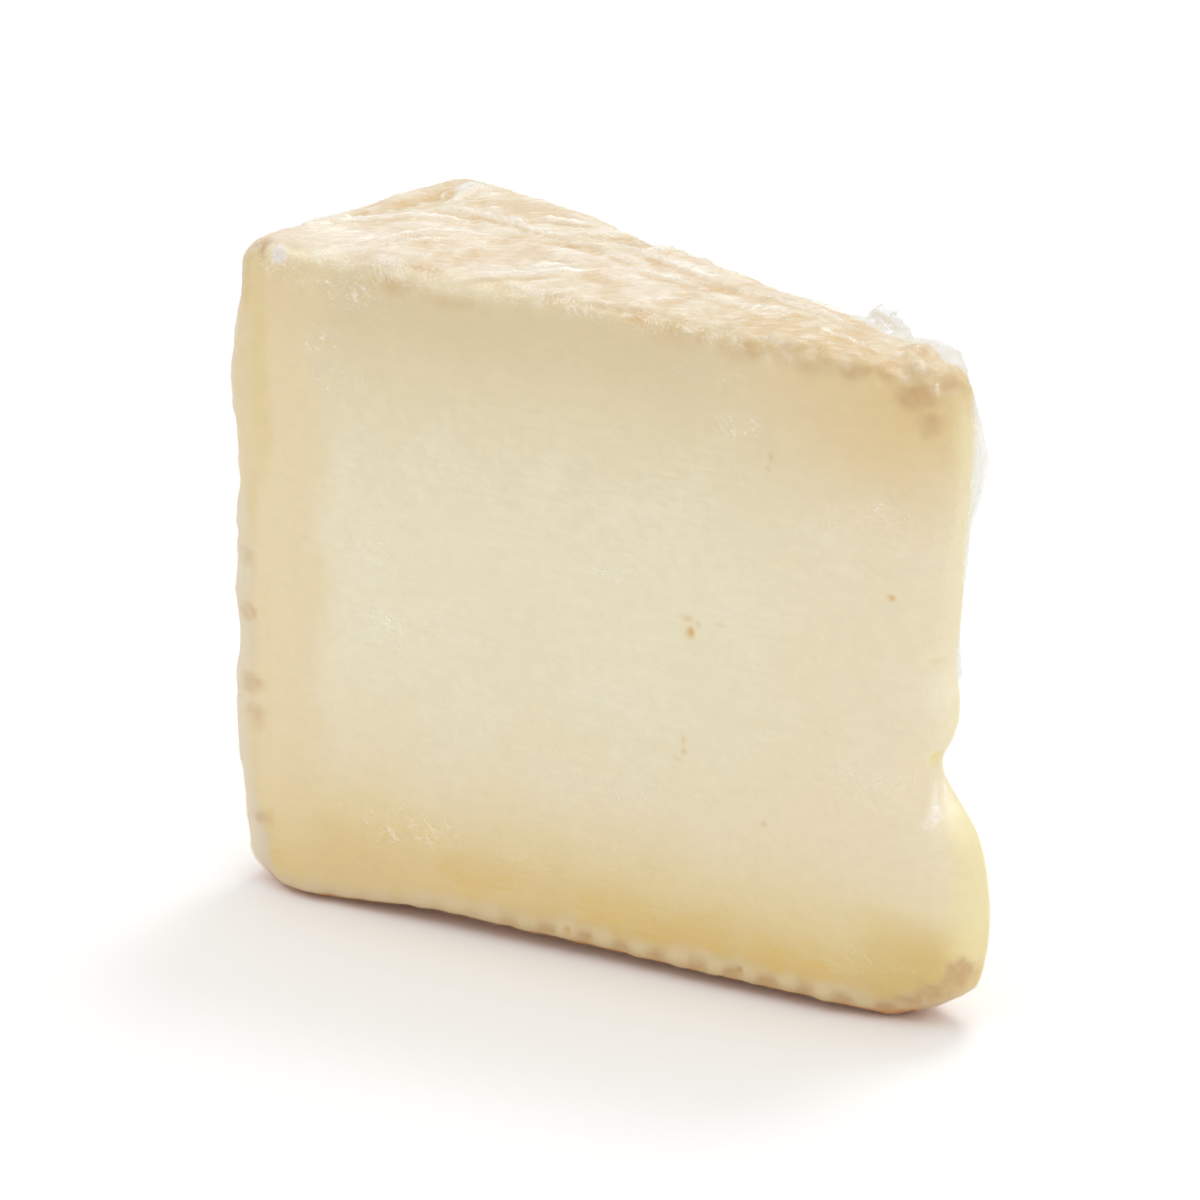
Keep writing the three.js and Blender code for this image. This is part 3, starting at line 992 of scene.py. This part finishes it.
def ripened_paste(f, spot, marks):
    """The paste: dry and pale in the middle, and riper and yellower towards the rind."""
    x, y, z, radius = spot
    cloud, drift, mottle, drag = marks
    stops = [(height / PASTE_TOP, colour(code)) for height, code in PASTE_BY_HEIGHT]
    level = (z + cloud * 5 + drift * 3) * (1 / PASTE_TOP)
    paste = f.node("ShaderNodeValToRGB", {"stops": stops}, level)
    inner = f.ramp(z, 15, 26) * f.ramp(z, 64, 50) * f.ramp(radius + drift * 6, 89.5, 86.5)
    patchy = f.ramp(mottle * 0.5 + drag * 0.4 + cloud * 1.1, -0.15, 0.35)
    paste = f.blend(paste, CHALK, inner * patchy * 0.5)
    paste = f.blend(paste, BLUSH, f.ramp(radius + drift * 30, 48, 24) * f.ramp(z, 10, 22) * 0.5)

    # By the base rind.
    foot = f.ramp(z + cloud * 8, 14, 5)
    paste = f.blend(paste, PALE_STRAW, foot * f.ramp(radius + cloud * 20, 50, 75) * 0.55)
    paste = f.blend(paste, DEEP_GOLD, foot * f.ramp(cloud + drag * 0.3, 0.0, 0.2) * 0.5)

    # By the back rind.
    band = f.ramp(radius + cloud * 7, 86.5, 91.5) * f.ramp(z, 3, 14)
    paste = f.blend(paste, BAND, band * 0.7)
    ripe = f.ramp(radius + cloud * 5, 94.6, 96.4) * f.ramp(radius + cloud * 5, 98.6, 97.3)
    paste = f.blend(paste, RIPE_LINE, ripe * f.ramp(z + drift * 30, 38, 62, 0.1, 0.8))

    # By the tip: its brow, its toe, and the pale corner between them.
    brow = f.ramp(radius + cloud * 12, 44, 20) * f.ramp(z + cloud * 8, 50, 66)
    paste = f.blend(paste, GOLD, brow * 0.85)
    toe = f.ramp(radius + cloud * 6, 27, 17) * f.ramp(z + cloud * 3, 14, 7.5)
    paste = f.blend(paste, TOE_GOLD, toe * 0.85)
    outward = x * CORNER_X + y * CORNER_Y
    tip = f.ramp(outward + cloud * 1.5, 28.8, 32.4) * f.ramp(z, 70, 64) * f.ramp(z, 4, 8)
    paste = f.blend(paste, f.blend(BUTTER, PALE_BUTTER, f.ramp(z, 20, 34)), tip * 0.75)
    shoulder = f.ramp(radius, 88, 93) * f.ramp(z, 60, 70)
    return f.blend(paste, TAN_PASTE, shoulder.at_least(f.ramp(radius, 96.5, 98.5)) * 0.2)


def dry_rind(f, spot, marks):
    """The rind: cream, but as yellow as straw where the knife has cut it."""
    x, y, z, radius = spot
    cloud, drift, _, _ = marks
    cut = f.amount("edge")
    rind = f.blend(RIND_CREAM, RIND_PINK, f.ramp(drift + cloud, -0.15, 0.15))
    rind = f.blend(rind, CUT_RIND, cut)
    rind = f.blend(rind, LIP_CREAM, cut * f.ramp(z, 60, 66) * f.ramp(x, 26, 6, 0.2))
    rind = f.blend(rind, LIP_CREAM, f.ramp(radius, 97, 99) * f.ramp(z, 68, 60) * 0.4)
    to_tip = f.ramp(x - y * 2 + cloud * 20, 0, 38)
    return f.blend(rind, RIND_TIP, to_tip * f.ramp(z, 50, 60) * 0.8)


def cheese_finish():
    f = Finish("soft_ripened_cheese")
    place = f.place()
    x, y, z = f.parts(place)
    from_axis = AXIS_X - x
    radius = (from_axis * from_axis + y * y) ** 0.5
    spot = (x, y, z, radius)
    cloud = f.noise(place, 9, 1) - 0.5
    drift = f.noise(place, 22, 0) - 0.5
    mottle = f.noise(place, 1.5, 2, 0.65) - 0.5
    drag = f.noise(f.turned(place, (0, 0, 10), (8, 1, 1)), 0.5, 1, 0.6) - 0.5
    marks = (cloud, drift, mottle, drag)

    base = f.blend(ripened_paste(f, spot, marks), dry_rind(f, spot, marks), f.amount("rind"))
    # Rind tan, with painted shade beside the creases and under the lip.
    base = f.blend(base, RIND_TAN, (f.amount("brown") * (1 + mottle * 2.4)).at_most(1))
    # Darker towards the base: the rind's tan, and painted shade where the edge meets the table.
    base = f.blend(base, FOOT_TAN_AND_SHADE, f.amount("foot") * f.ramp(radius, 92, 64, 0.15, 0.6))
    base = f.blend(base, RIND_WHITE, f.amount("white") * f.ramp(mottle, -0.25, 0.2))
    base = f.blend(base, MOULD_WHITE, f.amount("mould") * 0.85)
    base = f.blend(base, BASE_BROWN, f.amount("under"))
    base = f.blend(base, HOLE_BROWN, f.amount("hole"))
    # Painted shade, on the paste's yellow, in the notch's creases; painted highlights on its
    # facets, bulge and rim.
    base = f.blend(base, FOLD_YELLOW_AND_SHADE, f.amount("fold") * 0.9)
    base = f.blend(base, FACET_HIGHLIGHT, f.amount("facet") * 0.85)
    base = f.scale_colour(base, mottle * 0.08 + drag * 0.04 + 1)

    shader = f.node(
        "ShaderNodeBsdfPrincipled", {"subsurface_method": "BURLEY"}, Base_Color=base,
        Roughness=0.5 + mottle * 0.2, Normal=f.bump(mottle, 0.2, 0.5), Specular_IOR_Level=0.35,
        Subsurface_Weight=0.15, Subsurface_Radius=(2.4, 1.6, 0.8), Subsurface_Scale=1 * MM,
    )
    return f.close(shader)


def film_finish():
    """Clear film: it shows only where it is creased, wrinkled, gathered or seen aslant, and its
    white there is partly painted highlight and sheen.
    """
    f = Finish("clear_cling_film")
    place = f.place()
    z = f.parts(place)[2]
    wrinkle = f.amount("wrinkle")

    # Fine wrinkles: short thin strokes, most of them across the pull of the film, painted white
    # as the glints they catch.
    down = f.noise(f.turned(place, (0, 38, 10), (7, 1, 1)), 0.17, 0, warp=0.25)
    level = f.noise(f.turned(place, (0, -24, 10), (6, 1, 1)), 0.17, 0, warp=0.25)
    strokes = f.ramp(down, 0.60, 0.76).at_least(f.ramp(level, 0.62, 0.78) * 0.8)
    gathered = f.ramp(f.noise(place, 1.2, 1), 0.42, 0.60, 0.15)
    white = strokes * gathered * (wrinkle + 0.04) * 0.9 + wrinkle * 0.05

    # The fringe under the lip of the rind, the creases and streaks with painted highlights, and
    # the veils over the top.
    fibres = f.noise(f.turned(place, (0, 62, 0), (5, 1, 1)), 0.32, 0)
    fringe = f.ramp(fibres, 0.5, 0.68) * f.amount("fringe") * 0.42
    pulled = f.noise(f.turned(place, (0, 0, 40), (5, 1, 1)), 0.5, 2, 0.7, 0.3)
    ridge = f.ramp(f.amount("crease"), 0.15, 1.0) * f.ramp(pulled, 0.35, 0.6, 0.65, 1) * 0.6
    # Painted highlights: white streaks along the top, where its wrinkles glint.
    streaks = f.ramp(pulled, 0.52, 0.68) * f.ramp(z, 68.5, 70.5) * 0.3
    white = white.at_least(fringe).at_least(ridge).at_least(streaks)
    white = white + f.amount("veil") * f.ramp(pulled, 0.3, 0.7, 0.18, 0.46)

    # Painted sheen: the film turns whiter seen aslant, for the bright studio it reflects.
    glance = f.node("ShaderNodeFresnel", {}, IOR=FILM_IOR)
    white = (white + glance * 0.25 + 0.01).at_most(0.9)
    shader = f.node(
        "ShaderNodeBsdfPrincipled", {}, Base_Color=colour((249, 245, 234)), Roughness=0.15,
        IOR=FILM_IOR, Alpha=white,
    )
    return f.close(shader)


def loose_film_finish():
    """Loose film is crumpled, so it looks whiter than the film that clings."""
    f = Finish("crumpled_film")
    crumple = f.noise(f.place(), 0.9, 1, 0.6, 0.5)
    white = f.ramp(crumple, 0.35, 0.65, 0.85, 1) * f.ramp(f.amount("outward"), 0.6, 1, 0.95, 0.6)
    shader = f.node(
        "ShaderNodeBsdfPrincipled", {}, Base_Color=colour((247, 250, 251)), Roughness=0.3,
        IOR=FILM_IOR, Alpha=white, Normal=f.bump(crumple, 0.15, 0.5),
    )
    return f.close(shader)


# --- Camera, lights and floor ---


def from_target(azimuth, elevation, distance, target):
    """A place seen from a target: azimuth 0 is towards -Y, and 90 towards +X."""
    a, e = math.radians(azimuth), math.radians(elevation)
    way = Vector((math.sin(a) * math.cos(e), -math.cos(a) * math.cos(e), math.sin(e)))
    return Vector(target) + way * distance, way


def make_camera():
    spot, way = from_target(azimuth=40.15, elevation=19.3, distance=0.6773,
                            target=(-0.00613, 0, 0.03512))
    bpy.ops.object.camera_add(location=spot, rotation=way.to_track_quat("Z", "Y").to_euler())
    camera = bpy.context.object
    camera.data.lens = 195
    camera.data.sensor_width = 36
    camera.data.clip_start = 0.05
    camera.data.clip_end = 20
    bpy.context.scene.camera = camera


def add_light(azimuth, elevation, distance, size, power):
    """A round softbox, as far out and as wide as given, in metres, and its power in watts."""
    spot, way = from_target(azimuth, elevation, distance, (0, 0, 0.03))
    rotation = way.to_track_quat("Z", "Y").to_euler()
    bpy.ops.object.light_add(type="AREA", location=spot, rotation=rotation)
    light = bpy.context.object
    light.data.shape = "DISK"
    light.data.size = size
    light.data.energy = power


LOW_SKY = colour((196, 160, 130))


def make_room():
    bpy.ops.mesh.primitive_plane_add(size=6)
    floor = bpy.context.object
    floor.name = "floor"
    f = Finish("pale_floor")
    shader = f.node("ShaderNodeBsdfPrincipled", {}, Base_Color=colour((249, 249, 250)),
                    Roughness=0.9, Specular_IOR_Level=0.1)
    floor.data.materials.append(f.close(shader))

    # An even white studio, dim and warm down at the level of the table.
    f = Finish("studio", bpy.data.worlds)
    height = f.parts(f.node("ShaderNodeTexCoord", {}))[2]
    shade = f.blend(LOW_SKY, (1, 1, 1, 1), f.ramp(height, 0.04, 0.28))
    sky = f.node("ShaderNodeBackground", {}, shade, 0.95)
    bpy.context.scene.world = f.close(sky, "ShaderNodeOutputWorld")

    # The main light stands high behind the wedge, with one low on the right and a small one
    # in front.
    add_light(190, 60, 0.9, 0.40, 2.3)
    add_light(100, 30, 0.9, 0.30, 0.4)
    add_light(-25, 50, 0.9, 0.12, 0.4)
    bpy.context.scene.view_settings.view_transform = "Standard"
    bpy.context.scene.view_settings.look = "None"


# --- The wrapped wedge ---

make_camera()
make_room()

cheese = make_cheese()
relief = finish_cheese(cheese)
film = make_film(cheese, relief)
fins = [make_fin("film_fin", 2, 1.0, 0.0), make_fin("film_fin_fold", 6, 0.75, 0.6)]

loose = loose_film_finish()
for piece, finish in [(cheese, cheese_finish()), (film, film_finish()),
                      (fins[0], loose), (fins[1], loose)]:
    piece.data.materials.clear()
    piece.data.materials.append(finish)

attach(cheese, "root")
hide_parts("cheese_wedge")
for piece in [film, *fins]:
    # Thin film scatters light onward, so it doesn't shade what it covers.
    piece.visible_shadow = False
    piece.visible_diffuse = False
    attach(piece, "root")
    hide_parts("cheese_wedge")
